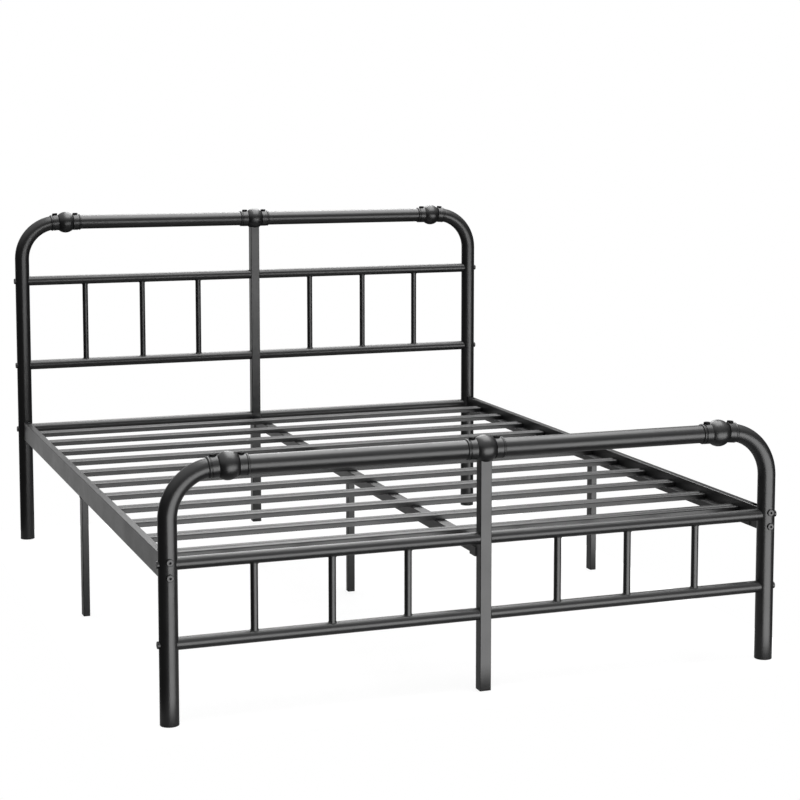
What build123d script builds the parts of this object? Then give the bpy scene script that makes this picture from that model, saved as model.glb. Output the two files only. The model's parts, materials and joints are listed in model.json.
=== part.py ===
from build123d import *
import math
import os

# Mattress that the frame takes, and the room left round it
MATTRESS_WIDTH = 1524.0
MATTRESS_LENGTH = 2032.0
MATTRESS_SIDE_PLAY = 17.0
MATTRESS_END_PLAY = 3.0

# Round tubes of the two boards
POST_DIAMETER = 46.5
POST_WALL = 1.5
POST_BEND_RADIUS = 120.0
RAIL_DIAMETER = 31.0
RAIL_WALL = 1.2
SPINDLE_DIAMETER = 18.5
SPINDLE_WALL = 1.0
SPINDLES_PER_BAY = 3

# Square post in the middle of each board
CENTRE_POST_SIZE = 30.0
CENTRE_POST_WALL = 1.5
CENTRE_POST_CORNER = 2.0

# Heights of tube axes above the floor
FOOT_TOP_RAIL_HEIGHT = 612.0
FOOT_UPPER_RAIL_HEIGHT = 387.5
FOOT_LOWER_RAIL_HEIGHT = 195.0
HEAD_TOP_RAIL_HEIGHT = 1068.0
HEAD_MID_RAIL_HEIGHT = 874.0
HEAD_LOWER_RAIL_HEIGHT = 591.0
HEAD_DECK_RAIL_HEIGHT = 376.0

# Ball connectors in the top rails
BALL_INSET = 147.0
BALL_DIAMETER = 69.5
BALL_BORE = 34.0
SLEEVE_START = 24.5
SLEEVE_REACH = 50.0
SLEEVE_DIAMETER = 53.0
SLEEVE_GROOVE_DEPTH = 1.7
SLEEVE_GROOVE_WIDTH = 2.2
SLEEVE_BEAD_WIDTH = 6.6
SLEEVE_RIM = 0.8
STOP_WALL = 2.5
TUBE_FIT = 0.6
TUBE_END_GAP = 0.3
SOCKET_ROOF = 21.5
SOCKET_FIT = 0.2

# Flat-headed bolts on top of the connector sleeves
CONNECTOR_BOLT_DIAMETER = 6.0
CONNECTOR_BOLT_SOCKET_WIDTH = 4.0
CONNECTOR_BOLT_HEAD_DIAMETER = 17.0
CONNECTOR_BOLT_HEAD_HEIGHT = 5.5
CONNECTOR_BOLT_LENGTH = 11.0
SPOT_FACE_DEPTH = 1.2
SPOT_FACE_MARGIN = 0.3

# Side rails and their bolted ends
SIDE_RAIL_BOTTOM = 343.0
SIDE_RAIL_HEIGHT = 60.0
SIDE_RAIL_WIDTH = 20.0
SIDE_RAIL_WALL = 1.5
SIDE_RAIL_CORNER = 2.0
SIDE_RAIL_NOTCH = 45.0
SIDE_BOLT_DROP = 7.5
SIDE_BOLT_SPACING = 37.0
NUT_PLATE_THICKNESS = 5.0
NUT_PLATE_SETBACK = 12.0
NUT_PLATE_FIT = 0.2

# Bolts through the posts into the cross rails and side rails, their washers and the rail plugs
RAIL_BOLT_DIAMETER = 6.0
RAIL_BOLT_SOCKET_WIDTH = 4.0
SIDE_BOLT_DIAMETER = 8.0
SIDE_BOLT_SOCKET_WIDTH = 6.0
BOLT_CLEARANCE = 0.3
THREAD_CLEARANCE = 0.05
POST_BOLT_HEAD_DIAMETER = 18.0
POST_BOLT_HEAD_HEIGHT = 3.4
BOLT_HEAD_ROUND = 1.5
BOLT_TIP = 4.0
HEX_SOCKET_DEPTH = 7.5
WASHER_CROWN = 1.4
RAIL_NUT_SETBACK = 4.0
RAIL_NUT_LENGTH = 16.0
RAIL_NUT_FIT = 0.15

# Legs under the middle of the bed, and the plastic caps in all tube feet
SIDE_LEG_WIDTH = 19.0
SIDE_LEG_DEPTH = 32.0
CENTRE_LEG_SIZE = 21.0
LEG_WALL = 1.2
LEG_CORNER = 1.8
FOOT_CAP_FLANGE = 3.0
FOOT_CAP_PLUG = 14.0
FOOT_CAP_ROUND = 1.0
FOOT_CAP_FIT = 0.15

# Deck: ledges, slats, centre rail and its cradles
SLAT_COUNT = 11
SLAT_DROP = 18.0
SLAT_WIDTH = 45.0
SLAT_HEIGHT = 14.0
SLAT_THICKNESS = 1.2
SLAT_CORNER = 3.5
SLAT_RIB_WIDTH = 13.0
SLAT_RIB_FLOOR = 8.0
SLAT_RIB_DEPTH = 2.0
SLAT_SIDE_GAP = 2.0
SLAT_FIRST_OFFSET = 142.0
LEDGE_SIZE = 25.0
LEDGE_THICKNESS = 3.0
LEDGE_END_GAP = 40.0
SLAT_BOLT_INSET = 14.0
SLAT_BOLT_DIAMETER = 6.0
SLAT_BOLT_HEAD_WIDTH = 10.0
SLAT_BOLT_HEAD_HEIGHT = 4.0
SLAT_NUT_WIDTH = 10.0
SLAT_NUT_HEIGHT = 5.0
CENTRE_RAIL_SIZE = 30.0
CENTRE_RAIL_WALL = 1.5
CENTRE_RAIL_CORNER = 2.0
CRADLE_THICKNESS = 3.0
CRADLE_LENGTH = 35.0
CRADLE_LIP = 20.0
CRADLE_FIT = 0.4

# Places worked out from the sizes above
POST_RADIUS = POST_DIAMETER / 2
RAIL_RADIUS = RAIL_DIAMETER / 2
CENTRE_FACE = CENTRE_POST_SIZE / 2
POST_X = MATTRESS_WIDTH / 2 + MATTRESS_SIDE_PLAY + POST_RADIUS
POST_Y = MATTRESS_LENGTH / 2 + MATTRESS_END_PLAY + POST_RADIUS
BALL_X = POST_X - BALL_INSET
TUBE_STOP = SLEEVE_START + STOP_WALL
SLEEVE_BAND_END = SLEEVE_REACH - SLEEVE_BEAD_WIDTH - SLEEVE_GROOVE_WIDTH
CONNECTOR_BOLT_REACH = (SLEEVE_START + SLEEVE_BAND_END) / 2
SIDE_RAIL_TOP = SIDE_RAIL_BOTTOM + SIDE_RAIL_HEIGHT
SIDE_RAIL_INNER_X = POST_X - SIDE_RAIL_WIDTH / 2
UPPER_SIDE_BOLT_HEIGHT = SIDE_RAIL_TOP - SIDE_BOLT_DROP
SIDE_BOLT_HEIGHTS = (UPPER_SIDE_BOLT_HEIGHT, UPPER_SIDE_BOLT_HEIGHT - SIDE_BOLT_SPACING)
SLAT_TOP = SIDE_RAIL_TOP - SLAT_DROP
SLAT_BOTTOM = SLAT_TOP - SLAT_HEIGHT
SLAT_PITCH = 2 * (POST_Y - SLAT_FIRST_OFFSET) / (SLAT_COUNT - 1)
SLAT_BOLT_X = SIDE_RAIL_INNER_X - SLAT_BOLT_INSET
CENTRE_RAIL_BOTTOM = SLAT_BOTTOM - CENTRE_RAIL_SIZE
CENTRE_RAIL_END_Y = POST_Y - CENTRE_FACE - CRADLE_THICKNESS - CRADLE_FIT
POST_BOLT_LENGTH = WASHER_CROWN + POST_DIAMETER + RAIL_NUT_SETBACK + RAIL_NUT_LENGTH + BOLT_TIP

FOOT_RAILS = {"upper_rail": FOOT_UPPER_RAIL_HEIGHT, "lower_rail": FOOT_LOWER_RAIL_HEIGHT}
HEAD_RAILS = {
    "mid_rail": HEAD_MID_RAIL_HEIGHT,
    "lower_rail": HEAD_LOWER_RAIL_HEIGHT,
    "deck_rail": HEAD_DECK_RAIL_HEIGHT,
}
SIDES = {"left": -1, "right": 1}
FROM_BASE = (Align.CENTER, Align.CENTER, Align.MIN)


def rod(start, end, radius):
    """Round bar between two points."""
    axis = Vector(*end) - Vector(*start)
    place = Plane(origin=start, z_dir=axis)
    return place * Cylinder(radius, axis.length, align=FROM_BASE)


def tube(start, end, diameter, wall):
    """Round tube between two points."""
    return rod(start, end, diameter / 2) - rod(start, end, diameter / 2 - wall)


def upright_box_tube(x, y, bottom, top, width, depth, wall, corner):
    """Upright rectangular tube with rounded corners."""
    section = RectangleRounded(width, depth, corner)
    bore = Rectangle(width - 2 * wall, depth - 2 * wall)
    return Pos(x, y, bottom) * extrude(section - bore, amount=top - bottom)


def box_between(low, high):
    """Box given by its lowest and highest corners."""
    size = [b - a for a, b in zip(low, high)]
    middle = [(a + b) / 2 for a, b in zip(low, high)]
    return Pos(*middle) * Box(*size)


def bend_drop(reach):
    """How far the bent post's axis lies below the top rail's axis, a reach outwards from the ball."""
    into_bend = max(0.0, reach - (BALL_INSET - POST_BEND_RADIUS))
    return POST_BEND_RADIUS - math.sqrt(POST_BEND_RADIUS**2 - into_bend**2)


def sleeve_place(heading, bent):
    """Place of one connector sleeve: its own X axis runs outwards from the ball."""
    turn = Rot(0, 0, 0 if heading > 0 else 180)
    if not bent:
        return turn
    stop_drop, mouth_drop = bend_drop(TUBE_STOP), bend_drop(SLEEVE_REACH)
    tilt = math.degrees(math.atan2(mouth_drop - stop_drop, SLEEVE_REACH - TUBE_STOP))
    bow = (stop_drop + mouth_drop) / 2 - bend_drop((TUBE_STOP + SLEEVE_REACH) / 2)
    hinge = Pos(TUBE_STOP, 0, bow / 2 - stop_drop)
    return turn * hinge * Rot(0, tilt, 0) * Pos(-TUBE_STOP, 0, 0)


def connector_sleeve():
    """Turned outside of one sleeve: end wall at the ball, plain band, groove and end bead."""
    crest = SLEEVE_DIAMETER / 2
    valley = crest - SLEEVE_GROOVE_DEPTH
    bead_start = SLEEVE_REACH - SLEEVE_BEAD_WIDTH
    bead_middle = SLEEVE_REACH - SLEEVE_BEAD_WIDTH / 2
    outline = Polyline(
        (SLEEVE_REACH, 0, valley),
        (SLEEVE_REACH, 0, 0),
        (SLEEVE_START, 0, 0),
        (SLEEVE_START, 0, crest - SLEEVE_RIM),
        (SLEEVE_START + SLEEVE_RIM, 0, crest),
        (SLEEVE_BAND_END, 0, crest),
        (SLEEVE_BAND_END, 0, valley),
        (bead_start, 0, valley),
    )
    bead = ThreePointArc((bead_start, 0, valley), (bead_middle, 0, crest), (SLEEVE_REACH, 0, valley))
    return revolve(make_face(outline + bead), axis=Axis.X)


def hole_radius(diameter):
    """Radius of a plain hole that lets a bolt through."""
    return diameter / 2 + BOLT_CLEARANCE


def thread_radius(diameter):
    """Radius of a threaded hole that a bolt is screwed into."""
    return diameter / 2 + THREAD_CLEARANCE


def socket_bolt(diameter, socket_width, head_diameter, head_height, length):
    """Bolt with a rounded head above Z = 0, a hex socket in it and its shank below."""
    head = Cylinder(head_diameter / 2, head_height, align=FROM_BASE)
    head = fillet(head.edges().sort_by(Axis.Z)[-1], min(BOLT_HEAD_ROUND, head_height / 2))
    shank = Pos(0, 0, -length) * Cylinder(diameter / 2, length, align=FROM_BASE)
    hexagon = RegularPolygon(socket_width / 2, 6, major_radius=False)
    socket = Pos(0, 0, head_height - HEX_SOCKET_DEPTH) * extrude(hexagon, amount=2 * HEX_SOCKET_DEPTH)
    return head + shank - socket


def rail_bolt_seats():
    """Outward headings and seats, on the post axes, of the bolts into the cross rails."""
    return [
        ((side, 0, 0), (side * POST_X, board * POST_Y, height))
        for side in SIDES.values()
        for _, board, _, rails in board_frames()
        for height in rails.values()
    ]


def side_bolt_seats():
    """Outward headings and seats, on the post axes, of the bolts into the side rails."""
    return [
        ((0, board, 0), (side * POST_X, board * POST_Y, height))
        for side in SIDES.values()
        for board in (-1, 1)
        for height in SIDE_BOLT_HEIGHTS
    ]


def post_bolt_kinds():
    """Shank diameter, socket width and seats of each kind of bolt that passes through posts."""
    return (
        (RAIL_BOLT_DIAMETER, RAIL_BOLT_SOCKET_WIDTH, rail_bolt_seats()),
        (SIDE_BOLT_DIAMETER, SIDE_BOLT_SOCKET_WIDTH, side_bolt_seats()),
    )


def seat_plane(heading, centre):
    """Plane whose normal points outwards along a bolt, with its origin on the post axis."""
    return Plane(origin=centre, z_dir=heading, x_dir=(0, 0, 1))


def board_frames():
    """Name, side of the bed, top rail height and cross rails of each board."""
    return (
        ("headboard", 1, HEAD_TOP_RAIL_HEIGHT, HEAD_RAILS),
        ("footboard", -1, FOOT_TOP_RAIL_HEIGHT, FOOT_RAILS),
    )


def bent_post(side, board, top_height):
    """Corner post: an upright that bends over into the top rail, drilled for its bolts."""
    x, y = side * POST_X, board * POST_Y
    bend_x = side * (POST_X - POST_BEND_RADIUS)
    bend_z = top_height - POST_BEND_RADIUS
    slant = POST_BEND_RADIUS * math.sqrt(0.5)
    upright = Line((x, y, FOOT_CAP_FLANGE), (x, y, bend_z))
    halfway = (bend_x + side * slant, y, bend_z + slant)
    bend = ThreePointArc((x, y, bend_z), halfway, (bend_x, y, top_height))
    level = Line((bend_x, y, top_height), (side * BALL_X, y, top_height))
    path = upright + bend + level
    foot = Plane(origin=(x, y, FOOT_CAP_FLANGE), z_dir=(0, 0, 1))
    outside = sweep(foot * Circle(POST_RADIUS), path=path)
    inside = sweep(foot * Circle(POST_RADIUS - POST_WALL), path=path)
    post = outside - inside
    sleeve = Pos(side * BALL_X, y, top_height) * sleeve_place(side, True)
    tube_end = TUBE_STOP + TUBE_END_GAP
    post -= sleeve * Pos(tube_end - BALL_INSET / 2, 0, 0) * Box(BALL_INSET, BALL_INSET, BALL_INSET)
    thread = Cylinder(thread_radius(CONNECTOR_BOLT_DIAMETER), POST_DIAMETER, align=FROM_BASE)
    post -= sleeve * Pos(CONNECTOR_BOLT_REACH, 0, 0) * thread
    for diameter, _, seats in post_bolt_kinds():
        drill = Cylinder(hole_radius(diameter), 2 * POST_DIAMETER)
        for heading, centre in seats:
            if math.dist(centre[:2], (x, y)) < POST_RADIUS:
                post -= seat_plane(heading, centre) * drill
    return post


def ball_connector(x, board, top_height, sleeves, on_centre_post):
    """Casting with a ball between two sleeves, bored for the tubes that enter it."""
    casting = Sphere(BALL_DIAMETER / 2)
    places = [sleeve_place(heading, bent) for heading, bent in sleeves]
    for place in places:
        casting += place * connector_sleeve()
    seat = SLEEVE_DIAMETER / 2 - SPOT_FACE_DEPTH
    face_radius = CONNECTOR_BOLT_HEAD_DIAMETER / 2 + SPOT_FACE_MARGIN
    for place in places:
        casting -= place * rod((TUBE_STOP, 0, 0), (2 * SLEEVE_REACH, 0, 0), POST_RADIUS + TUBE_FIT)
        top = place * Pos(CONNECTOR_BOLT_REACH, 0, 0)
        casting -= top * Cylinder(hole_radius(CONNECTOR_BOLT_DIAMETER), SLEEVE_DIAMETER, align=FROM_BASE)
        casting -= top * Pos(0, 0, seat) * Cylinder(face_radius, SLEEVE_DIAMETER, align=FROM_BASE)
    casting -= rod((-SLEEVE_REACH, 0, 0), (SLEEVE_REACH, 0, 0), BALL_BORE / 2)
    if on_centre_post:
        socket = CENTRE_POST_SIZE / 2 + SOCKET_FIT
        casting -= box_between((-socket, -socket, -BALL_DIAMETER), (socket, socket, -SOCKET_ROOF))
    return Pos(x, board * POST_Y, top_height) * casting


def connector_layout():
    """Place in X, the two sleeves as heading and bend, and the use of each connector in a board."""
    return {
        "left": (-BALL_X, ((-1, True), (1, False)), False),
        "centre": (0.0, ((-1, False), (1, False)), True),
        "right": (BALL_X, ((1, True), (-1, False)), False),
    }


def top_rail(side, board, top_height):
    """Straight tube between the corner connector and the centre connector, drilled for their bolts."""
    y = board * POST_Y
    past_stop = TUBE_STOP + TUBE_END_GAP
    near = (side * past_stop, y, top_height)
    far = (side * (BALL_X - past_stop), y, top_height)
    rail = tube(near, far, POST_DIAMETER, POST_WALL)
    thread = Cylinder(thread_radius(CONNECTOR_BOLT_DIAMETER), POST_DIAMETER, align=FROM_BASE)
    for reach in (CONNECTOR_BOLT_REACH, BALL_X - CONNECTOR_BOLT_REACH):
        rail -= Pos(side * reach, y, top_height) * thread
    return rail


def cross_rail(side, board, height):
    """Thin rail from a corner post to the centre post, its end shaped to the round post."""
    x, y = side * POST_X, board * POST_Y
    rail = tube((side * CENTRE_FACE, y, height), (x, y, height), RAIL_DIAMETER, RAIL_WALL)
    return rail - rod((x, y, height - RAIL_DIAMETER), (x, y, height + RAIL_DIAMETER), POST_RADIUS)


def spindles(side, board, rails):
    """Spindles of one bay, evenly spaced, their ends shaped to the two rails between which they stand."""
    y = board * POST_Y
    upper, lower = list(rails.values())[:2]
    clear = POST_X - POST_RADIUS - CENTRE_FACE
    gap = (clear - SPINDLES_PER_BAY * SPINDLE_DIAMETER) / (SPINDLES_PER_BAY + 1)
    bars = []
    for index in range(SPINDLES_PER_BAY):
        x = side * (CENTRE_FACE + gap + SPINDLE_DIAMETER / 2 + index * (gap + SPINDLE_DIAMETER))
        bar = tube((x, y, lower), (x, y, upper), SPINDLE_DIAMETER, SPINDLE_WALL)
        for height in (lower, upper):
            bar -= rod((x - SPINDLE_DIAMETER, y, height), (x + SPINDLE_DIAMETER, y, height), RAIL_RADIUS)
        bars.append(bar)
    return bars


def centre_post(board, top_height, rails):
    """Square post from the floor cap into the socket of the middle ball, drilled for the studs."""
    y = board * POST_Y
    top = top_height - SOCKET_ROOF - SOCKET_FIT
    size = CENTRE_POST_SIZE
    post = upright_box_tube(0, y, FOOT_CAP_FLANGE, top, size, size, CENTRE_POST_WALL, CENTRE_POST_CORNER)
    for height in rails.values():
        post -= rod((-size, y, height), (size, y, height), hole_radius(RAIL_BOLT_DIAMETER))
    return post


def side_rail(side):
    """Rectangular rail from post to post, its ends shaped to the posts and open on top for access."""
    section = RectangleRounded(SIDE_RAIL_WIDTH, SIDE_RAIL_HEIGHT, SIDE_RAIL_CORNER)
    inner_width = SIDE_RAIL_WIDTH - 2 * SIDE_RAIL_WALL
    bore = Rectangle(inner_width, SIDE_RAIL_HEIGHT - 2 * SIDE_RAIL_WALL)
    centre = (side * POST_X, 0, SIDE_RAIL_BOTTOM + SIDE_RAIL_HEIGHT / 2)
    middle = Plane(origin=centre, z_dir=(0, 1, 0), x_dir=(1, 0, 0))
    rail = middle * extrude(section - bore, amount=POST_Y, both=True)
    for end in (-1, 1):
        foot = (side * POST_X, end * POST_Y, SIDE_RAIL_BOTTOM - SIDE_RAIL_HEIGHT)
        head = (side * POST_X, end * POST_Y, SIDE_RAIL_TOP + SIDE_RAIL_HEIGHT)
        rail -= rod(foot, head, POST_RADIUS)
        notch_end = end * (POST_Y - POST_RADIUS - SIDE_RAIL_NOTCH)
        low_y, high_y = sorted((notch_end, end * POST_Y))
        notch_x = side * POST_X
        rail -= box_between(
            (notch_x - inner_width / 2, low_y, SIDE_RAIL_TOP - 2 * SIDE_RAIL_WALL),
            (notch_x + inner_width / 2, high_y, SIDE_RAIL_TOP + SIDE_RAIL_WALL),
        )
    return rail


def slat_places():
    """Place of every slat along the bed."""
    return [index * SLAT_PITCH - (POST_Y - SLAT_FIRST_OFFSET) for index in range(SLAT_COUNT)]


def slat_ledge(side):
    """Steel angle along the inside of a side rail that the slat ends stand on."""
    end = POST_Y - POST_RADIUS - LEDGE_END_GAP
    wall_x = side * SIDE_RAIL_INNER_X
    shelf_x = side * (SIDE_RAIL_INNER_X - LEDGE_SIZE)
    web_x = side * (SIDE_RAIL_INNER_X - LEDGE_THICKNESS)
    low, high = sorted((wall_x, shelf_x))
    shelf = box_between((low, -end, SLAT_BOTTOM - LEDGE_THICKNESS), (high, end, SLAT_BOTTOM))
    low, high = sorted((wall_x, web_x))
    web = box_between((low, -end, SLAT_BOTTOM - LEDGE_SIZE), (high, end, SLAT_BOTTOM))
    ledge = shelf + web
    for y in slat_places():
        bolt = Pos(side * SLAT_BOLT_X, y, SLAT_BOTTOM - LEDGE_THICKNESS)
        ledge -= bolt * Cylinder(hole_radius(SLAT_BOLT_DIAMETER), 4 * LEDGE_THICKNESS)
    return ledge


def slat(y):
    """Pressed steel slat: a channel open below, with a sunk rib along its middle."""
    half = SLAT_WIDTH / 2
    inner = half - SLAT_THICKNESS
    under = SLAT_HEIGHT - SLAT_THICKNESS
    rib, floor = SLAT_RIB_WIDTH / 2, SLAT_RIB_FLOOR / 2
    half_outline = [
        (floor, SLAT_HEIGHT - SLAT_RIB_DEPTH),
        (rib, SLAT_HEIGHT),
        (half, SLAT_HEIGHT),
        (half, 0),
        (inner, 0),
        (inner, under),
        (rib + SLAT_THICKNESS / 2, under),
        (floor + SLAT_THICKNESS / 2, under - SLAT_RIB_DEPTH),
    ]
    other_half = [(-across, up) for across, up in reversed(half_outline)]
    section = make_face(Polyline(*half_outline, *other_half, close=True))
    length = 2 * (SIDE_RAIL_INNER_X - SLAT_SIDE_GAP)
    place = Plane(origin=(0, y, SLAT_BOTTOM), z_dir=(1, 0, 0), x_dir=(0, 1, 0))
    bar = place * extrude(section, amount=length / 2, both=True)
    long_edges = bar.edges().filter_by(Axis.X)
    top_edges = long_edges.group_by(Axis.Z)[-1].sort_by(Axis.Y)
    return fillet([top_edges[0], top_edges[-1]], SLAT_CORNER)


def centre_rail():
    """Square tube under the middle of the slats, from cradle to cradle."""
    section = RectangleRounded(CENTRE_RAIL_SIZE, CENTRE_RAIL_SIZE, CENTRE_RAIL_CORNER)
    bore_size = CENTRE_RAIL_SIZE - 2 * CENTRE_RAIL_WALL
    height = CENTRE_RAIL_BOTTOM + CENTRE_RAIL_SIZE / 2
    place = Plane(origin=(0, 0, height), z_dir=(0, 1, 0), x_dir=(1, 0, 0))
    return place * extrude(section - Rectangle(bore_size, bore_size), amount=CENTRE_RAIL_END_Y, both=True)


def centre_rail_cradle(board):
    """Open-topped cradle on a centre post that the end of the centre rail drops into."""
    inner = CENTRE_RAIL_SIZE / 2 + CRADLE_FIT
    outer = inner + CRADLE_THICKNESS
    back = POST_Y - CENTRE_FACE
    front = back - CRADLE_LENGTH
    bottom = CENTRE_RAIL_BOTTOM - CRADLE_THICKNESS
    top = CENTRE_RAIL_BOTTOM + CRADLE_LIP
    shell = box_between((-outer, front, bottom), (outer, back, top))
    room_low = (-inner, front - CRADLE_LENGTH, CENTRE_RAIL_BOTTOM)
    room = box_between(room_low, (inner, back - CRADLE_THICKNESS, top + CRADLE_LIP))
    return Rot(0, 0, 0 if board > 0 else 180) * (shell - room)


def upright_leg(x, width, depth, top):
    """Leg of rectangular tube from its floor cap up to the rail that it carries."""
    return upright_box_tube(x, 0, FOOT_CAP_FLANGE, top, width, depth, LEG_WALL, LEG_CORNER)


def round_foot_cap(x, y):
    """Plastic cap with a floor flange and a plug inside a post."""
    flange = Cylinder(POST_RADIUS, FOOT_CAP_FLANGE, align=FROM_BASE)
    flange = fillet(flange.edges().sort_by(Axis.Z)[0], FOOT_CAP_ROUND)
    plug_radius = POST_RADIUS - POST_WALL - FOOT_CAP_FIT
    plug = Pos(0, 0, FOOT_CAP_FLANGE) * Cylinder(plug_radius, FOOT_CAP_PLUG, align=FROM_BASE)
    return Pos(x, y, 0) * (flange + plug)


def square_foot_cap(x, y, width, depth, wall, corner):
    """Plastic cap with a floor flange and a plug inside a rectangular tube."""
    flange = extrude(RectangleRounded(width, depth, corner), amount=FOOT_CAP_FLANGE)
    flange = fillet(flange.edges().group_by(Axis.Z)[0], FOOT_CAP_ROUND)
    slack = 2 * (wall + FOOT_CAP_FIT)
    plug = extrude(Rectangle(width - slack, depth - slack), amount=FOOT_CAP_PLUG)
    return Pos(x, y, 0) * (flange + Pos(0, 0, FOOT_CAP_FLANGE) * plug)


def post_bolts():
    """All bolts through the posts, heads outwards on their washers."""
    seat = POST_RADIUS + WASHER_CROWN
    head_diameter, head_height = POST_BOLT_HEAD_DIAMETER, POST_BOLT_HEAD_HEIGHT
    bolts = []
    for diameter, socket_width, seats in post_bolt_kinds():
        bolt = socket_bolt(diameter, socket_width, head_diameter, head_height, POST_BOLT_LENGTH)
        bolts += [seat_plane(heading, centre) * Pos(0, 0, seat) * bolt for heading, centre in seats]
    return bolts


def saddle_washers():
    """Washers flat under a bolt head and curved to the post."""
    blank = Cylinder(POST_BOLT_HEAD_DIAMETER / 2, POST_RADIUS + WASHER_CROWN, align=FROM_BASE)
    blank -= rod((-POST_DIAMETER, 0, 0), (POST_DIAMETER, 0, 0), POST_RADIUS)
    washers = []
    for diameter, _, seats in post_bolt_kinds():
        washer = blank - Cylinder(hole_radius(diameter), 2 * POST_DIAMETER)
        washers += [seat_plane(heading, centre) * washer for heading, centre in seats]
    return washers


def connector_bolts():
    """Flat-headed bolts on top of every connector sleeve."""
    seat = SLEEVE_DIAMETER / 2 - SPOT_FACE_DEPTH
    head_diameter, head_height = CONNECTOR_BOLT_HEAD_DIAMETER, CONNECTOR_BOLT_HEAD_HEIGHT
    diameter, socket_width = CONNECTOR_BOLT_DIAMETER, CONNECTOR_BOLT_SOCKET_WIDTH
    bolt = socket_bolt(diameter, socket_width, head_diameter, head_height, CONNECTOR_BOLT_LENGTH)
    bolts = []
    for _, board, top_height, _ in board_frames():
        for x, sleeves, _ in connector_layout().values():
            for heading, bent in sleeves:
                place = Pos(x, board * POST_Y, top_height) * sleeve_place(heading, bent)
                bolts.append(place * Pos(CONNECTOR_BOLT_REACH, 0, seat) * bolt)
    return bolts


def rail_end_nuts():
    """Threaded plugs inside both ends of every cross rail."""
    radius = RAIL_RADIUS - RAIL_WALL - RAIL_NUT_FIT
    thread = Cylinder(thread_radius(RAIL_BOLT_DIAMETER), 2 * RAIL_NUT_LENGTH)
    plug = Cylinder(radius, RAIL_NUT_LENGTH) - thread
    setback = RAIL_NUT_SETBACK + RAIL_NUT_LENGTH / 2
    reaches = (CENTRE_FACE + setback, POST_X - POST_RADIUS - setback)
    nuts = []
    for _, board, _, rails in board_frames():
        for height in rails.values():
            for side in SIDES.values():
                for reach in reaches:
                    nuts.append(Pos(side * reach, board * POST_Y, height) * Rot(0, 90, 0) * plug)
    return nuts


def centre_studs():
    """Threaded rods through the centre posts that draw the two cross rails together."""
    half = CENTRE_FACE + RAIL_NUT_SETBACK + RAIL_NUT_LENGTH
    studs = []
    for _, board, _, rails in board_frames():
        y = board * POST_Y
        for height in rails.values():
            studs.append(rod((-half, y, height), (half, y, height), RAIL_BOLT_DIAMETER / 2))
    return studs


def side_rail_nut_plates():
    """Plates with two threaded holes inside both ends of each side rail."""
    slack = 2 * (SIDE_RAIL_WALL + NUT_PLATE_FIT)
    plate = Box(SIDE_RAIL_WIDTH - slack, NUT_PLATE_THICKNESS, SIDE_RAIL_HEIGHT - slack)
    middle = SIDE_RAIL_BOTTOM + SIDE_RAIL_HEIGHT / 2
    reach = POST_Y - POST_RADIUS - NUT_PLATE_SETBACK - NUT_PLATE_THICKNESS / 2
    depth = 2 * NUT_PLATE_THICKNESS
    for height in SIDE_BOLT_HEIGHTS:
        up = height - middle
        plate -= rod((0, -depth, up), (0, depth, up), thread_radius(SIDE_BOLT_DIAMETER))
    return [Pos(side * POST_X, end * reach, middle) * plate for side in SIDES.values() for end in (-1, 1)]


def slat_bolt_places():
    """Place of every slat bolt in plan."""
    return [(side * SLAT_BOLT_X, y) for side in SIDES.values() for y in slat_places()]


def slat_bolts():
    """Hex bolts from below through the ledges into the slat nuts."""
    hexagon = RegularPolygon(SLAT_BOLT_HEAD_WIDTH / 2, 6, major_radius=False)
    head = extrude(hexagon, amount=-SLAT_BOLT_HEAD_HEIGHT)
    nut_top = SLAT_HEIGHT - SLAT_THICKNESS - SLAT_RIB_DEPTH
    reach = LEDGE_THICKNESS + nut_top - THREAD_CLEARANCE
    shank = Cylinder(SLAT_BOLT_DIAMETER / 2, reach, align=FROM_BASE)
    bolt = head + shank
    return [Pos(x, y, SLAT_BOTTOM - LEDGE_THICKNESS) * bolt for x, y in slat_bolt_places()]


def slat_nuts():
    """Weld nuts under the ribs of the slats."""
    nut_top = SLAT_HEIGHT - SLAT_THICKNESS - SLAT_RIB_DEPTH
    hexagon = RegularPolygon(SLAT_NUT_WIDTH / 2, 6, major_radius=False)
    nut = extrude(hexagon, amount=SLAT_NUT_HEIGHT)
    nut -= Cylinder(thread_radius(SLAT_BOLT_DIAMETER), 4 * SLAT_NUT_HEIGHT)
    return [Pos(x, y, SLAT_BOTTOM + nut_top - SLAT_NUT_HEIGHT) * nut for x, y in slat_bolt_places()]


def board_nodes(name, board, top_height, rails):
    """All tubes and castings of the headboard or the footboard."""
    nodes = {f"{name}_centre_post": centre_post(board, top_height, rails)}
    for place, (x, sleeves, on_centre_post) in connector_layout().items():
        connector = ball_connector(x, board, top_height, sleeves, on_centre_post)
        nodes[f"{name}_{place}_connector"] = connector
    for word, side in SIDES.items():
        nodes[f"{name}_{word}_post"] = bent_post(side, board, top_height)
        nodes[f"{name}_{word}_top_rail"] = top_rail(side, board, top_height)
        nodes[f"{name}_{word}_spindles"] = spindles(side, board, rails)
        for rail_name, height in rails.items():
            nodes[f"{name}_{word}_{rail_name}"] = cross_rail(side, board, height)
    return nodes


def deck_nodes():
    """Side rails, legs and everything that carries the mattress."""
    nodes = {"centre_rail": centre_rail()}
    nodes["centre_leg"] = upright_leg(0, CENTRE_LEG_SIZE, CENTRE_LEG_SIZE, CENTRE_RAIL_BOTTOM)
    nodes["centre_rail_cradles"] = [centre_rail_cradle(board) for board in (-1, 1)]
    for word, side in SIDES.items():
        nodes[f"{word}_side_rail"] = side_rail(side)
        nodes[f"{word}_slat_ledge"] = slat_ledge(side)
        leg = upright_leg(side * POST_X, SIDE_LEG_WIDTH, SIDE_LEG_DEPTH, SIDE_RAIL_BOTTOM)
        nodes[f"{word}_side_leg"] = leg
    for number, y in enumerate(slat_places(), start=1):
        nodes[f"slat_{number:02d}"] = slat(y)
    return nodes


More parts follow.
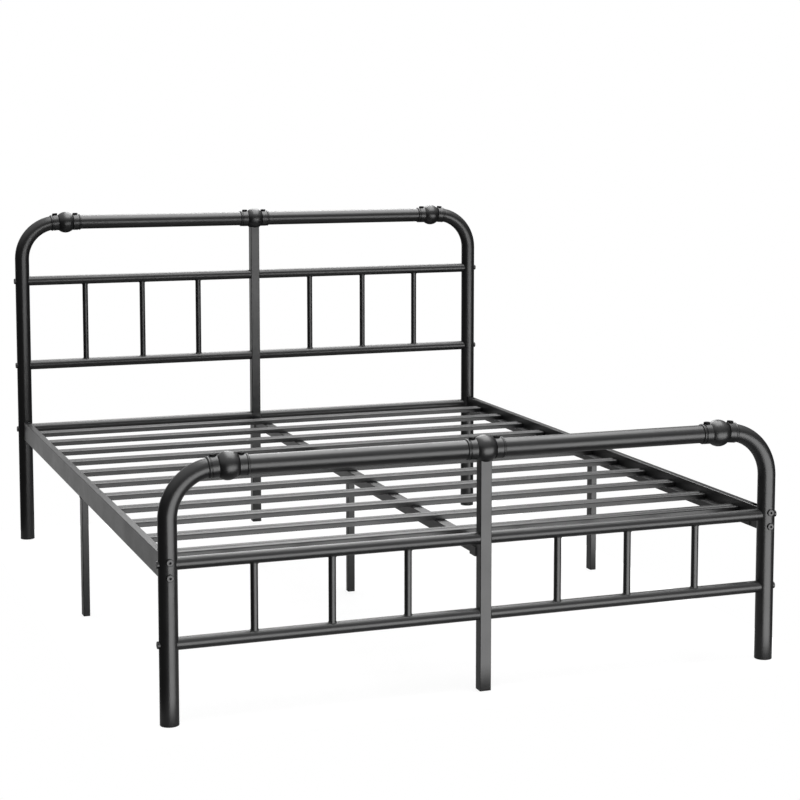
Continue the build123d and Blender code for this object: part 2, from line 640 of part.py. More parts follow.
def foot_cap_nodes():
    """Plastic caps that the whole frame stands on."""
    corners = [(x * POST_X, y * POST_Y) for x in SIDES.values() for y in (-1, 1)]
    post_size, leg = CENTRE_POST_SIZE, CENTRE_LEG_SIZE
    caps = [
        square_foot_cap(0, board * POST_Y, post_size, post_size, CENTRE_POST_WALL, CENTRE_POST_CORNER)
        for board in (-1, 1)
    ]
    caps.append(square_foot_cap(0, 0, leg, leg, LEG_WALL, LEG_CORNER))
    for side in SIDES.values():
        caps.append(square_foot_cap(side * POST_X, 0, SIDE_LEG_WIDTH, SIDE_LEG_DEPTH, LEG_WALL, LEG_CORNER))
    return {"post_foot_caps": [round_foot_cap(x, y) for x, y in corners], "square_foot_caps": caps}


def fastener_nodes():
    """Bolts, washers, nuts and studs, each kind as one group of separate solids."""
    return {
        "connector_bolts": connector_bolts(),
        "post_bolts": post_bolts(),
        "saddle_washers": saddle_washers(),
        "rail_end_nuts": rail_end_nuts(),
        "centre_studs": centre_studs(),
        "side_rail_nut_plates": side_rail_nut_plates(),
        "slat_bolts": slat_bolts(),
        "slat_nuts": slat_nuts(),
    }


def main():
    """Builds every node and writes it to its own file."""
    nodes = deck_nodes() | foot_cap_nodes() | fastener_nodes()
    for name, board, top_height, rails in board_frames():
        nodes |= board_nodes(name, board, top_height, rails)
    os.makedirs("parts", exist_ok=True)
    for name, shape in sorted(nodes.items()):
        solids = shape if isinstance(shape, list) else [shape]
        pieces = [solid for item in solids for solid in item.solids()]
        export_step(Compound(children=pieces) if len(pieces) > 1 else pieces[0], f"parts/{name}.step")


main()
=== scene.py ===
import json
import logging
import math
from dataclasses import dataclass
from enum import Enum
from typing import Any

import bpy
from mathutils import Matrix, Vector

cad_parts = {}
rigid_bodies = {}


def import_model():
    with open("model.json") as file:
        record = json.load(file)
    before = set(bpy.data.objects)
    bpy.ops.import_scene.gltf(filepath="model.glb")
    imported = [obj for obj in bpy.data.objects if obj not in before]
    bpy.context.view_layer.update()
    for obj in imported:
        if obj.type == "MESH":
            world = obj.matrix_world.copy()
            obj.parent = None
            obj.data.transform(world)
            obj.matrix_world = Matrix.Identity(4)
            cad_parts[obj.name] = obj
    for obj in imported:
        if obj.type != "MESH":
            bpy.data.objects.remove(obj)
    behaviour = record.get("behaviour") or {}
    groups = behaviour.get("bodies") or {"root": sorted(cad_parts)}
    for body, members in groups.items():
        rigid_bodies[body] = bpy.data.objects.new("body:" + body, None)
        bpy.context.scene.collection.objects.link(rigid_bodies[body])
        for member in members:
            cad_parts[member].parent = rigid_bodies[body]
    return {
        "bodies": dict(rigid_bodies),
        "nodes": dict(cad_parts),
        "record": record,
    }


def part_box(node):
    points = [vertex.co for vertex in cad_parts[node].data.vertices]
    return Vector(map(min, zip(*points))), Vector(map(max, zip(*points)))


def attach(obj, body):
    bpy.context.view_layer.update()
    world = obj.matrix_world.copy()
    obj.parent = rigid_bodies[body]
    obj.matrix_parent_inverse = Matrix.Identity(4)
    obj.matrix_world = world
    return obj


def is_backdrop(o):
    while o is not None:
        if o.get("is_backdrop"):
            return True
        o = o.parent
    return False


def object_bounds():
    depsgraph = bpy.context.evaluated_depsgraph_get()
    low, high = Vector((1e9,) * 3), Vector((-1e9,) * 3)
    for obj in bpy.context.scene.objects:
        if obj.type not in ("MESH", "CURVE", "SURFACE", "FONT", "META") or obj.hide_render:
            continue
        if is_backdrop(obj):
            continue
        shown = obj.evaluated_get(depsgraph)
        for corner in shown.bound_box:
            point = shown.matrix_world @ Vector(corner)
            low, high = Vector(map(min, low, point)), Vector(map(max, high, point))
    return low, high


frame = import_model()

Point = tuple[float, float, float]
Path = list[Point]

MM = 0.001
BODY = "root"
# The sRGB curve: end of its straight part, slope of that part, offset and power of the rest
SRGB_KNEE = 0.04045
SRGB_SLOPE = 12.92
SRGB_OFFSET = 0.055
SRGB_POWER = 2.4
# Nearly all of a noise texture's values lie between these two
NOISE_SPAN = (0.3, 0.7)
# Octaves of the noise and how strongly the finer ones count, for the drift and for the relief
DRIFT_DETAIL = 4.0
DRIFT_ROUGHNESS = 0.6
RELIEF_DETAIL = 2.0
RELIEF_ROUGHNESS = 0.5
WHITE = "#ffffff"
# Strength at which a glowing surface shows as the white of the background
WHITE_STRENGTH = 1.0
LOG = logging.getLogger("bed_frame")


class Slot(Enum):
    """Material slots of the record, one for each finish on the bed."""

    COAT = "powder_coat"
    CAST = "cast_coat"
    BOLT = "black_bolt"
    ZINC = "zinc_steel"
    CAP = "cap_plastic"


class Side(Enum):
    """Left and right of the bed, seen from the foot end."""

    LEFT = "left"
    RIGHT = "right"


def linear(hex_colour: str) -> tuple[float, float, float, float]:
    """Turns an sRGB hex colour into a linear one.

    Args:
        hex_colour: Six hex digits after a hash sign.

    Returns:
        Linear red, green, blue and an alpha of 1.
    """
    parts = [int(hex_colour[at:at + 2], 16) / 255 for at in (1, 3, 5)]
    red, green, blue = (
        part / SRGB_SLOPE if part <= SRGB_KNEE
        else ((part + SRGB_OFFSET) / (1 + SRGB_OFFSET)) ** SRGB_POWER
        for part in parts
    )
    return red, green, blue, 1.0


def per_metre(size_mm: float) -> float:
    """Texture scale, in repeats a metre, that gives a pattern this real size in millimetres."""
    return 1 / (size_mm * MM)


def add_node(
    tree: bpy.types.NodeTree,
    kind: str,
    inputs: dict[str | int, Any] | None = None,
    **settings: Any,
) -> bpy.types.Node:
    """Adds one node with its settings, values and links.

    Args:
        tree: The node tree to add to.
        kind: Blender's name of the node's type.
        inputs: Input names or numbers, each with a value or with the output socket to link from.
        **settings: Properties of the node itself.

    Returns:
        The new node.
    """
    node = tree.nodes.new(kind)
    for name, value in settings.items():
        setattr(node, name, value)
    for name, value in (inputs or {}).items():
        if isinstance(value, bpy.types.NodeSocket):
            tree.links.new(value, node.inputs[name])
        else:
            node.inputs[name].default_value = value
    return node


def new_material(name: str) -> tuple[bpy.types.Material, bpy.types.NodeTree]:
    """Makes an empty node material and gives it back with its tree."""
    material = bpy.data.materials.new(name)
    material.use_nodes = True
    material.node_tree.nodes.clear()
    return material, material.node_tree


def add_object(name: str, data: bpy.types.ID) -> bpy.types.Object:
    """Makes an object that shows a mesh, lamp or camera, and links it to the scene."""
    obj = bpy.data.objects.new(name, data)
    bpy.context.scene.collection.objects.link(obj)
    return obj


@dataclass(frozen=True)
class Finish:
    """A solid finish with a fine relief, a slow drift in gloss and a slow drift in tone.

    Attributes:
        name: What the finish is and how it was made.
        dark: Colour of the deeper tone.
        light: Colour of the paler tone.
        metallic: 1 for bare metal, 0 for paint and plastic.
        ior: Index of refraction.
        specular: Strength of the mirror part, where 0.5 is what the index gives.
        gloss: Lowest and highest roughness.
        relief_mm: Size of the bumps in the surface.
        relief_depth_mm: Depth of the bumps.
        drift_mm: Size of the patches that differ in gloss and tone.
    """

    name: str
    dark: str
    light: str
    metallic: float
    ior: float
    specular: float
    gloss: tuple[float, float]
    relief_mm: float
    relief_depth_mm: float
    drift_mm: float

    def material(self) -> bpy.types.Material:
        """Builds the node material.

        Returns:
            The material, which reads Object coordinates only.
        """
        material, tree = new_material(self.name)
        place = add_node(tree, "ShaderNodeTexCoord").outputs["Object"]
        drift = add_node(
            tree, "ShaderNodeTexNoise",
            {"Vector": place, "Scale": per_metre(self.drift_mm),
             "Detail": DRIFT_DETAIL, "Roughness": DRIFT_ROUGHNESS},
        )
        relief = add_node(
            tree, "ShaderNodeTexNoise",
            {"Vector": place, "Scale": per_metre(self.relief_mm),
             "Detail": RELIEF_DETAIL, "Roughness": RELIEF_ROUGHNESS},
        )
        tone = add_node(
            tree, "ShaderNodeMix",
            {"Factor": drift.outputs["Fac"], "A": linear(self.dark), "B": linear(self.light)},
            data_type="RGBA",
        )
        rough = add_node(
            tree, "ShaderNodeMapRange",
            {"Value": drift.outputs["Fac"], "From Min": NOISE_SPAN[0], "From Max": NOISE_SPAN[1],
             "To Min": self.gloss[0], "To Max": self.gloss[1]},
        )
        bump = add_node(
            tree, "ShaderNodeBump",
            {"Height": relief.outputs["Fac"], "Distance": self.relief_depth_mm * MM},
        )
        surface = add_node(
            tree, "ShaderNodeBsdfPrincipled",
            {"Base Color": tone.outputs["Result"], "Roughness": rough.outputs["Result"],
             "Normal": bump.outputs["Normal"], "Metallic": self.metallic, "IOR": self.ior,
             "Specular IOR Level": self.specular},
        )
        add_node(tree, "ShaderNodeOutputMaterial", {"Surface": surface.outputs["BSDF"]})
        return material


# Polyester powder coat, sprayed and baked on steel tube: satin black with a soft sheen. Its orange
# peel is a few millimetres across, so it shows close up. From afar only the drift in gloss does.
POWDER_COAT = Finish(
    "satin_powder_coat", dark="#0a0a0b", light="#101011", metallic=0.0, ior=1.6, specular=0.5,
    gloss=(0.32, 0.38), relief_mm=2.4, relief_depth_mm=0.025, drift_mm=70.0,
)
# The same coat on a die-cast zinc connector: the casting's grain lies under it as a coarser peel
CAST_COAT = Finish(
    "coated_zinc_casting", dark="#0a0a0b", light="#111112", metallic=0.0, ior=1.6, specular=0.5,
    gloss=(0.32, 0.38), relief_mm=3.2, relief_depth_mm=0.03, drift_mm=30.0,
)
# Black oxide, grown on steel bolts in a hot bath and oiled: darker than the coat, with a tighter
# sheen
BLACK_OXIDE = Finish(
    "black_oxide_steel", dark="#09090a", light="#0f0f10", metallic=0.0, ior=1.6, specular=0.5,
    gloss=(0.30, 0.38), relief_mm=0.8, relief_depth_mm=0.006, drift_mm=9.0,
)
# Black phosphate, grown in an acid bath on the flat-headed connector bolts: its fine crystals
# swallow the light, so it is dull
BLACK_PHOSPHATE = Finish(
    "black_phosphated_steel", dark="#060607", light="#0a0a0b", metallic=0.0, ior=1.5,
    specular=0.15, gloss=(0.6, 0.7), relief_mm=0.6, relief_depth_mm=0.01, drift_mm=6.0,
)
# Bright zinc plating on nuts and threaded rods: pale blue-grey metal with cloudy patches
ZINC_PLATE = Finish(
    "zinc_plated_steel", dark="#9a9da1", light="#b9bcc0", metallic=1.0, ior=1.5, specular=0.5,
    gloss=(0.28, 0.42), relief_mm=1.5, relief_depth_mm=0.01, drift_mm=8.0,
)
# Injection-moulded polyethylene in the tube feet: matte, with a fine spark-eroded texture
MOULDED_CAP = Finish(
    "moulded_polyethylene", dark="#101010", light="#161616", metallic=0.0, ior=1.51, specular=0.5,
    gloss=(0.5, 0.6), relief_mm=1.1, relief_depth_mm=0.03, drift_mm=20.0,
)

FINISHES: dict[Slot, Finish] = {
    Slot.COAT: POWDER_COAT,
    Slot.CAST: CAST_COAT,
    Slot.BOLT: BLACK_OXIDE,
    Slot.ZINC: ZINC_PLATE,
    Slot.CAP: MOULDED_CAP,
}
NODE_FINISHES: dict[str, Finish] = {"connector_bolts": BLACK_PHOSPHATE}


class Wardrobe:
    """Makes each finish once and dresses CAD nodes and new pieces in it."""

    def __init__(self) -> None:
        """Builds every finish."""
        every = (*FINISHES.values(), *NODE_FINISHES.values())
        self.materials: dict[Finish, bpy.types.Material] = {
            finish: finish.material() for finish in every
        }
        self.slot_of: dict[str, Slot] = {
            row["node"]: Slot(row["material_slot"]) for row in frame["record"]["subparts"]
        }

    def coat(self) -> bpy.types.Material:
        """The powder coat, which welds are under as well."""
        return self.materials[POWDER_COAT]

    def dress_node(self, node: str) -> None:
        """Gives a CAD node its own finish, or else the one of its slot in the record."""
        finish = NODE_FINISHES.get(node) or FINISHES[self.slot_of[node]]
        for material_slot in frame["nodes"][node].material_slots:
            material_slot.material = self.materials[finish]
        LOG.info("%s: %s", node, finish.name)

    def dress_piece(self, obj: bpy.types.Object, slot: Slot) -> None:
        """Sets a new piece on the bed's body and logs the finish of the slot its material belongs
        to.
        """
        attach(obj, BODY)
        LOG.info("%s: %s, %d faces", obj.name, FINISHES[slot].name, len(obj.data.polygons))


@dataclass(frozen=True)
class WeldBead:
    """A weld bead with the ripple that a moving torch leaves, drawn along any path.

    Attributes:
        radius_mm: Mean radius of the bead.
        ripple_mm: Length of one ripple along the bead.
        ripple_share: Height of a ripple as a share of the radius.
        step_mm: Distance between rings along the bead.
        sides: Number of sides of the bead's section.
    """

    radius_mm: float = 1.7
    ripple_mm: float = 2.6
    ripple_share: float = 0.14
    step_mm: float = 0.65
    sides: int = 8

    def tree(self, material: bpy.types.Material) -> bpy.types.GeometryNodeTree:
        """Builds the node tree that turns edges into beads.

        Args:
            material: Finish of the beads.

        Returns:
            A tree with the bead's sizes as named inputs.
        """
        tree = bpy.data.node_groups.new("weld_bead", "GeometryNodeTree")
        face = tree.interface
        face.new_socket("Paths", in_out="INPUT", socket_type="NodeSocketGeometry")
        for name in ("Radius", "Ripple", "Ripple share", "Step"):
            face.new_socket(name, in_out="INPUT", socket_type="NodeSocketFloat")
        face.new_socket("Beads", in_out="OUTPUT", socket_type="NodeSocketGeometry")
        given = add_node(tree, "NodeGroupInput").outputs
        curves = add_node(tree, "GeometryNodeMeshToCurve", {"Mesh": given["Paths"]})
        even = add_node(
            tree, "GeometryNodeResampleCurve",
            {"Curve": curves.outputs["Curve"], "Length": given["Step"]}, mode="LENGTH",
        )
        along = add_node(tree, "GeometryNodeSplineParameter")
        ripples = add_node(
            tree, "ShaderNodeMath",
            {0: along.outputs["Length"], 1: given["Ripple"]}, operation="DIVIDE",
        )
        turn = add_node(
            tree, "ShaderNodeMath", {0: ripples.outputs[0], 1: math.tau}, operation="MULTIPLY"
        )
        wave = add_node(tree, "ShaderNodeMath", {0: turn.outputs[0]}, operation="SINE")
        swell = add_node(
            tree, "ShaderNodeMath",
            {0: wave.outputs[0], 1: given["Ripple share"], 2: 1.0}, operation="MULTIPLY_ADD",
        )
        section = add_node(
            tree, "GeometryNodeCurvePrimitiveCircle",
            {"Resolution": self.sides, "Radius": given["Radius"]},
        )
        bead = add_node(
            tree, "GeometryNodeCurveToMesh",
            {"Curve": even.outputs["Curve"], "Profile Curve": section.outputs["Curve"],
             "Scale": swell.outputs[0], "Fill Caps": True},
        )
        smooth = add_node(tree, "GeometryNodeSetShadeSmooth", {"Geometry": bead.outputs["Mesh"]})
        real = add_node(
            tree, "GeometryNodeRealizeInstances", {"Geometry": smooth.outputs["Geometry"]}
        )
        painted = add_node(
            tree, "GeometryNodeSetMaterial",
            {"Geometry": real.outputs["Geometry"], "Material": material},
        )
        add_node(tree, "NodeGroupOutput", {"Beads": painted.outputs["Geometry"]})
        return tree

    def lay(
        self, name: str, paths: list[Path], closed: bool, material: bpy.types.Material
    ) -> bpy.types.Object:
        """Lays beads along paths as one plain mesh.

        Args:
            name: Name of the new piece.
            paths: Points of each path, in millimetres in the bed's frame.
            closed: Whether each path returns to its start.
            material: Finish of the beads.

        Returns:
            The piece, with no modifier left on it.
        """
        points: Path = []
        edges: list[tuple[int, int]] = []
        for path in paths:
            first = len(points)
            points.extend((x * MM, y * MM, z * MM) for x, y, z in path)
            edges.extend((first + at, first + at + 1) for at in range(len(path) - 1))
            if closed:
                edges.append((len(points) - 1, first))
        mesh = bpy.data.meshes.new(name)
        mesh.from_pydata(points, edges, [])
        obj = add_object(name, mesh)
        modifier = obj.modifiers.new("weld", "NODES")
        modifier.node_group = self.tree(material)
        sizes = {
            "Radius": self.radius_mm * MM, "Ripple": self.ripple_mm * MM,
            "Ripple share": self.ripple_share, "Step": self.step_mm * MM,
        }
        for item in modifier.node_group.interface.items_tree:
            if item.in_out == "INPUT" and item.name in sizes:
                modifier[item.identifier] = sizes[item.name]
        seen = obj.evaluated_get(bpy.context.evaluated_depsgraph_get())
        plain = bpy.data.meshes.new_from_object(seen)
        obj.modifiers.remove(modifier)
        obj.data = plain
        return obj


def centre_mm(node: str) -> Vector:
    """Middle of a CAD node's box, in millimetres."""
    low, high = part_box(node)
    return (low + high) / 2 / MM


def size_mm(node: str) -> Vector:
    """Size of a CAD node's box, in millimetres."""
    low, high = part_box(node)
    return (high - low) / MM


@dataclass
class Board:
    """Headboard or footboard: posts, connectors, rails and spindles, with the spindles' welds.

    Attributes:
        name: First word of the board's node names.
        upper: Rail that the spindles meet at the top.
        lower: Rail that the spindles meet at the bottom.
        spindles_each_side: Number of spindles in one half.
        path_points: Points on the line of one weld.
    """

    name: str
    upper: str
    lower: str
    spindles_each_side: int = 3
    path_points: int = 40

    def nodes(self) -> list[str]:
        """Names of the board's CAD nodes."""
        return sorted(node for node in frame["nodes"] if node.startswith(self.name))

    def spindle_places(self, side: Side) -> list[float]:
        """Place of each spindle of one half along X, in millimetres."""
        node = f"{self.name}_{side.value}_spindles"
        middle, width = centre_mm(node).x, size_mm(node).x - self.spindle_diameter(side)
        last = self.spindles_each_side - 1
        return [middle - width / 2 + width * at / last for at in range(self.spindles_each_side)]

    def spindle_diameter(self, side: Side) -> float:
        """Diameter of a spindle, in millimetres."""
        return size_mm(f"{self.name}_{side.value}_spindles").y

    def saddle(self, side: Side, x: float, rail: str, up: int) -> Path:
        """Line on which a spindle meets the round of a rail.

        Args:
            side: Half of the board.
            x: Place of the spindle.
            rail: Last words of the rail's node name.
            up: 1 where the spindle stands on the rail, -1 where it hangs under it.

        Returns:
            Points of the closed line, in millimetres.
        """
        node = f"{self.name}_{side.value}_{rail}"
        middle, rail_radius = centre_mm(node), size_mm(node).z / 2
        radius = self.spindle_diameter(side) / 2
        path: Path = []
        for at in range(self.path_points):
            angle = math.tau * at / self.path_points
            across = radius * math.sin(angle)
            rise = math.sqrt(rail_radius**2 - across**2)
            path.append((x + radius * math.cos(angle), middle.y + across, middle.z + up * rise))
        return path

    def build(self, bead: WeldBead, wardrobe: Wardrobe) -> None:
        """Welds the spindles to their rails.

        Args:
            bead: Shape of the welds.
            wardrobe: Where the finishes come from.
        """
        paths: list[Path] = []
        for side in Side:
            for x in self.spindle_places(side):
                paths.append(self.saddle(side, x, self.upper, up=-1))
                paths.append(self.saddle(side, x, self.lower, up=1))
        welds = bead.lay(
            f"{self.name}_spindle_welds", paths, closed=True, material=wardrobe.coat()
        )
        wardrobe.dress_piece(welds, Slot.COAT)

    def dress(self, wardrobe: Wardrobe) -> None:
        """Dresses the board's nodes."""
        for node in self.nodes():
            wardrobe.dress_node(node)


@dataclass
class Deck:
    """Side rails, legs, ledges, slats and the centre rail, with the welds that hold them together.

    Attributes:
        stitch_mm: Length of one weld along a ledge.
        stitch_pitch_mm: Distance from one such weld to the next.
    """

    stitch_mm: float = 45.0
    stitch_pitch_mm: float = 270.0

    def nodes(self) -> list[str]:
        """Names of the deck's CAD nodes."""
        words = ("side_rail", "slat_ledge", "side_leg", "centre_rail", "centre_leg", "slat_")
        fasteners = ("slat_bolts", "slat_nuts", "side_rail_nut_plates")
        return sorted(
            node for node in frame["nodes"]
            if any(word in node for word in words) and node not in fasteners
        )

    def leg_welds(self) -> list[Path]:
        """Closed lines round the tops of the legs, in millimetres."""
        paths: list[Path] = []
        for node in ("left_side_leg", "right_side_leg", "centre_leg"):
            low, high = (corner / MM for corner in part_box(node))
            corners = ((low.x, low.y), (high.x, low.y), (high.x, high.y), (low.x, high.y))
            paths.append([(x, y, high.z) for x, y in corners])
        return paths

    def ledge_welds(self) -> list[Path]:
        """Short lines along the foot of each ledge, where it meets its rail, in millimetres."""
        paths: list[Path] = []
        for side in Side:
            low, high = (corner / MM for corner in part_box(f"{side.value}_slat_ledge"))
            wall_x = low.x if side is Side.LEFT else high.x
            count = int((high.y - low.y - self.stitch_mm) // self.stitch_pitch_mm)
            for at in range(count + 1):
                middle = (at - count / 2) * self.stitch_pitch_mm
                ends = (middle - self.stitch_mm / 2, middle + self.stitch_mm / 2)
                paths.append([(wall_x, y, low.z) for y in ends])
        return paths

    def cradle_welds(self) -> list[Path]:
        """Upright lines where each cradle's back meets a centre post's sides, in millimetres."""
        low, high = (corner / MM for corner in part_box("centre_rail_cradles"))
        half = size_mm("footboard_centre_post").x / 2
        ends = ((side, y) for side in (-half, half) for y in (low.y, high.y))
        return [[(x, y, low.z), (x, y, high.z)] for x, y in ends]

    def build(self, bead: WeldBead, wardrobe: Wardrobe) -> None:
        """Lays the deck's welds.

        Args:
            bead: Shape of the welds.
            wardrobe: Where the finishes come from.
        """
        for name, paths, closed in (
            ("leg_welds", self.leg_welds(), True),
            ("ledge_welds", self.ledge_welds(), False),
            ("cradle_welds", self.cradle_welds(), False),
        ):
            welds = bead.lay(name, paths, closed=closed, material=wardrobe.coat())
            wardrobe.dress_piece(welds, Slot.COAT)

    def dress(self, wardrobe: Wardrobe) -> None:
        """Dresses the deck's nodes."""
        for node in self.nodes():
            wardrobe.dress_node(node)


@dataclass
class SmallParts:
    """Bolts, washers, nuts and foot caps."""

    nodes: tuple[str, ...] = (
        "connector_bolts", "post_bolts", "saddle_washers", "rail_end_nuts", "centre_studs",
        "side_rail_nut_plates", "slat_bolts", "slat_nuts", "post_foot_caps", "square_foot_caps",
    )

    def dress(self, wardrobe: Wardrobe) -> None:
        """Dresses every small part."""
        for node in self.nodes:
            wardrobe.dress_node(node)


@dataclass(frozen=True)
class Softbox:
    """A rectangular lamp.

    Attributes:
        name: What the lamp does.
        place: Middle of the lamp, in metres.
        tilt: Degrees from facing straight down to facing the head of the bed.
        width: Width in metres.
        height: Height in metres.
        radiance: Brightness of its face, where 1 is the white of the background.
    """

    name: str
    place: Point
    tilt: float
    width: float
    height: float
    radiance: float

    def build(self) -> None:
        """Hangs the lamp."""
        lamp = bpy.data.lights.new(self.name, "AREA")
        lamp.shape = "RECTANGLE"
        lamp.size, lamp.size_y = self.width, self.height
        lamp.energy = self.radiance * math.pi * self.width * self.height
        obj = add_object(self.name, lamp)
        obj.location = self.place
        obj.rotation_euler = (math.radians(self.tilt), 0.0, 0.0)
        obj.visible_camera = False
        LOG.info("%s: lamp of %.1f by %.1f m", self.name, self.width, self.height)


@dataclass(frozen=True)
class Studio:
    """White paper floor, white backdrop, soft lamps and the camera.

    Attributes:
        lamps: The softboxes.
        paper_margin: How far the paper on the floor reaches past the bed, in metres.
        paper_gap: How far the paper lies under the feet, in metres.
        paper_glow: Share of the paper's white that is its own glow, close to the bed.
        paper_fade: Distances past the bed over which the paper turns to pure glow, in metres.
        paper_in_gloss: Share of the glow that glossy metal over the paper shows.
        paper_tone: Colour of the paper's own surface.
        room_dim: Brightness of the room in front of the bed and beside it.
        ceiling: Brightness of the room overhead.
        ceiling_edge: Upward parts of a direction over which the ceiling starts.
        backdrop_edge: Backward parts of a direction over which the white backdrop starts.
        backdrop_right: Share of the backdrop's brightness that is left on the right.
        right_edge: Rightward parts of a direction over which the backdrop darkens.
        camera_place: Place of the camera, in metres.
        camera_turn: Degrees by which the camera looks to the right of straight ahead.
        camera_tilt: Degrees by which the camera looks down.
        camera_lens: Focal length in millimetres on the sensor's width.
        camera_sensor: Width of the sensor in millimetres.
        camera_shift: Upward shift of the lens, as a share of the frame.
    """

    lamps: tuple[Softbox, ...] = (
        Softbox(
            "front_screen", (2.1, -4.55, -0.52), tilt=90.0, width=7.0, height=2.95, radiance=3.9
        ),
        Softbox("top_light", (1.5, 0.7, 6.2), tilt=0.0, width=5.0, height=6.4, radiance=4.5),
        Softbox("back_light", (1.3, 4.2, 3.6), tilt=-50.0, width=2.6, height=2.0, radiance=6.2),
    )
    paper_margin: float = 0.1
    paper_gap: float = 0.0004
    paper_glow: float = 0.82
    paper_fade: tuple[float, float] = (-0.06, 0.08)
    paper_in_gloss: float = 0.15
    paper_tone: str = "#707070"
    room_dim: float = 0.07
    ceiling: float = 1.0
    ceiling_edge: tuple[float, float] = (0.15, 0.9)
    backdrop_edge: tuple[float, float] = (0.8, 1.05)
    backdrop_right: float = 0.3
    right_edge: tuple[float, float] = (0.1, 0.7)
    camera_place: Point = (-1.7935, -5.3342, 1.4525)
    camera_turn: float = 20.105
    camera_tilt: float = 5.91
    camera_lens: float = 85.62
    camera_sensor: float = 36.0
    camera_shift: float = -0.12

    def build_paper(self) -> None:
        """Lays white paper that glows to the camera and in gloss and keeps the bed's shadow."""
        low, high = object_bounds()
        material, tree = new_material("studio_paper")
        place = add_node(tree, "ShaderNodeTexCoord").outputs["Object"]
        axes = add_node(tree, "ShaderNodeSeparateXYZ", {"Vector": place}).outputs
        past: list[bpy.types.NodeSocket] = []
        for axis, reach in (("X", high.x), ("Y", high.y)):
            size = add_node(tree, "ShaderNodeMath", {0: axes[axis]}, operation="ABSOLUTE")
            beyond = add_node(
                tree, "ShaderNodeMath", {0: size.outputs[0], 1: reach}, operation="SUBTRACT"
            )
            past.append(beyond.outputs[0])
        away = add_node(
            tree, "ShaderNodeMath", {0: past[0], 1: past[1]}, operation="MAXIMUM"
        )
        glow = add_node(
            tree, "ShaderNodeMapRange",
            {"Value": away.outputs[0],
             "From Min": self.paper_fade[0], "From Max": self.paper_fade[1],
             "To Min": self.paper_glow, "To Max": WHITE_STRENGTH},
            interpolation_type="SMOOTHSTEP",
        )
        rays = add_node(tree, "ShaderNodeLightPath").outputs
        direct = add_node(
            tree, "ShaderNodeMath",
            {0: rays["Is Camera Ray"], 1: rays["Is Transmission Ray"]}, operation="MAXIMUM",
        )
        in_gloss = add_node(
            tree, "ShaderNodeMath",
            {0: rays["Is Glossy Ray"], 1: self.paper_in_gloss}, operation="MULTIPLY",
        )
        seen = add_node(
            tree, "ShaderNodeMath",
            {0: direct.outputs[0], 1: in_gloss.outputs[0]}, operation="MAXIMUM",
        )
        strength = add_node(
            tree, "ShaderNodeMath",
            {0: glow.outputs["Result"], 1: seen.outputs[0]}, operation="MULTIPLY",
        )
        shine = add_node(
            tree, "ShaderNodeEmission", {"Color": linear(WHITE), "Strength": strength.outputs[0]}
        )
        matte = add_node(tree, "ShaderNodeBsdfDiffuse", {"Color": linear(self.paper_tone)})
        paper = add_node(tree, "ShaderNodeAddShader", {0: shine.outputs[0], 1: matte.outputs[0]})
        add_node(tree, "ShaderNodeOutputMaterial", {"Surface": paper.outputs[0]})
        x, y, z = high.x + self.paper_margin, high.y + self.paper_margin, low.z - self.paper_gap
        mesh = bpy.data.meshes.new("floor")
        mesh.from_pydata([(-x, -y, z), (x, -y, z), (x, y, z), (-x, y, z)], [], [(0, 1, 2, 3)])
        mesh.materials.append(material)
        floor = add_object("floor", mesh)
        floor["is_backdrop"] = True
        LOG.info("floor: white paper")

    def build_room(self) -> None:
        """Makes a dim room with a pale ceiling and a backdrop, white to the camera and in gloss."""
        world = bpy.data.worlds.new("studio")
        world.use_nodes = True
        tree = world.node_tree
        tree.nodes.clear()
        toward = add_node(tree, "ShaderNodeTexCoord").outputs["Generated"]
        axes = add_node(tree, "ShaderNodeSeparateXYZ", {"Vector": toward}).outputs
        above = add_node(
            tree, "ShaderNodeMapRange",
            {"Value": axes["Z"],
             "From Min": self.ceiling_edge[0], "From Max": self.ceiling_edge[1],
             "To Min": self.room_dim, "To Max": self.ceiling},
            interpolation_type="SMOOTHSTEP",
        )
        behind = add_node(
            tree, "ShaderNodeMapRange",
            {"Value": axes["Y"],
             "From Min": self.backdrop_edge[0], "From Max": self.backdrop_edge[1]},
            interpolation_type="SMOOTHSTEP",
        )
        right = add_node(
            tree, "ShaderNodeMapRange",
            {"Value": axes["X"],
             "From Min": self.right_edge[0], "From Max": self.right_edge[1],
             "To Min": WHITE_STRENGTH, "To Max": self.backdrop_right},
            interpolation_type="SMOOTHSTEP",
        )
        backdrop = add_node(
            tree, "ShaderNodeMath",
            {0: behind.outputs["Result"], 1: right.outputs["Result"]}, operation="MULTIPLY",
        )
        rays = add_node(tree, "ShaderNodeLightPath").outputs
        in_gloss = add_node(
            tree, "ShaderNodeMath",
            {0: rays["Is Glossy Ray"], 1: backdrop.outputs[0]}, operation="MULTIPLY",
        )
        direct = add_node(
            tree, "ShaderNodeMath",
            {0: rays["Is Camera Ray"], 1: rays["Is Transmission Ray"]}, operation="MAXIMUM",
        )
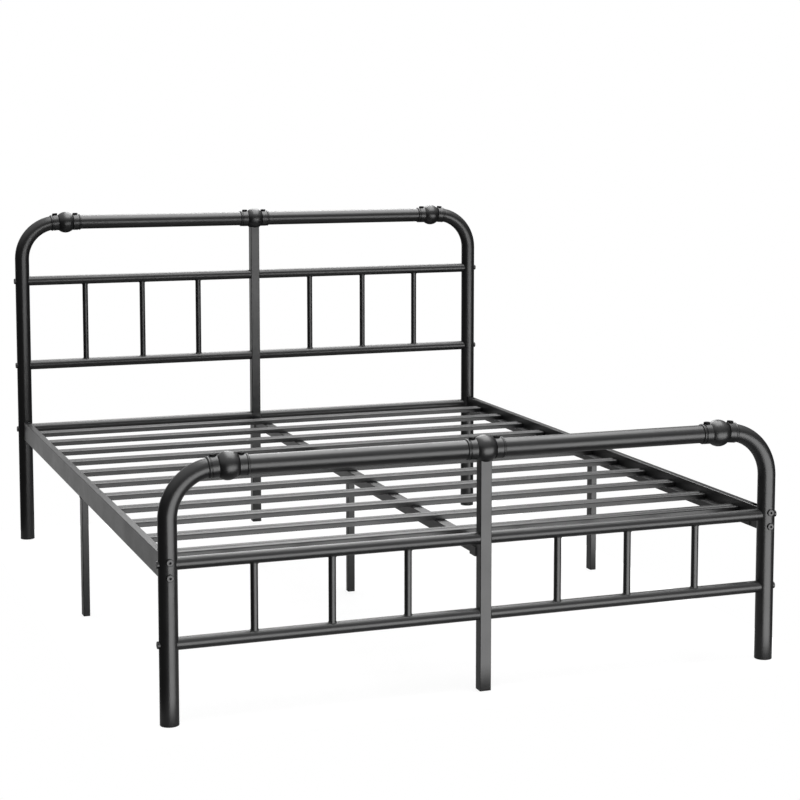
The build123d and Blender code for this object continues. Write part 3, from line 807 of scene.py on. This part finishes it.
        white = add_node(
            tree, "ShaderNodeMath",
            {0: direct.outputs[0], 1: in_gloss.outputs[0]}, operation="MAXIMUM",
        )
        room = add_node(
            tree, "ShaderNodeMath",
            {0: white.outputs[0], 1: above.outputs["Result"]}, operation="MAXIMUM",
        )
        sky = add_node(
            tree, "ShaderNodeBackground", {"Color": linear(WHITE), "Strength": room.outputs[0]}
        )
        add_node(tree, "ShaderNodeOutputWorld", {"Surface": sky.outputs[0]})
        bpy.context.scene.world = world
        LOG.info("room: white backdrop")

    def build_camera(self) -> None:
        """Sets up the camera at the photograph's place."""
        data = bpy.data.cameras.new("camera")
        data.sensor_fit = "HORIZONTAL"
        data.sensor_width = self.camera_sensor
        data.lens = self.camera_lens
        data.shift_y = self.camera_shift
        data.dof.use_dof = False
        camera = add_object("camera", data)
        camera.location = self.camera_place
        down, right = math.radians(self.camera_tilt), math.radians(self.camera_turn)
        camera.rotation_euler = (math.pi / 2 - down, 0.0, -right)
        bpy.context.scene.camera = camera
        LOG.info("camera: %.1f mm lens", self.camera_lens)

    def build(self) -> None:
        """Builds the whole studio."""
        bpy.context.scene.view_settings.view_transform = "Standard"
        self.build_paper()
        self.build_room()
        for lamp in self.lamps:
            lamp.build()
        self.build_camera()


def clear_start_scene() -> None:
    """Removes whatever stands in the scene besides the frame."""
    kept = set(frame["nodes"].values()) | set(frame["bodies"].values())
    for obj in list(bpy.data.objects):
        if obj not in kept:
            bpy.data.objects.remove(obj)


def main() -> None:
    """Builds and dresses the bed frame, then the studio round it."""
    logging.basicConfig(level=logging.INFO, format="%(message)s")
    clear_start_scene()
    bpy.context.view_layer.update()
    wardrobe = Wardrobe()
    bead = WeldBead()
    headboard = Board("headboard", upper="mid_rail", lower="lower_rail")
    footboard = Board("footboard", upper="upper_rail", lower="lower_rail")
    for assembly in (headboard, footboard, Deck()):
        assembly.build(bead, wardrobe)
        assembly.dress(wardrobe)
    SmallParts().dress(wardrobe)
    Studio().build()


if __name__ == "__main__":
    main()
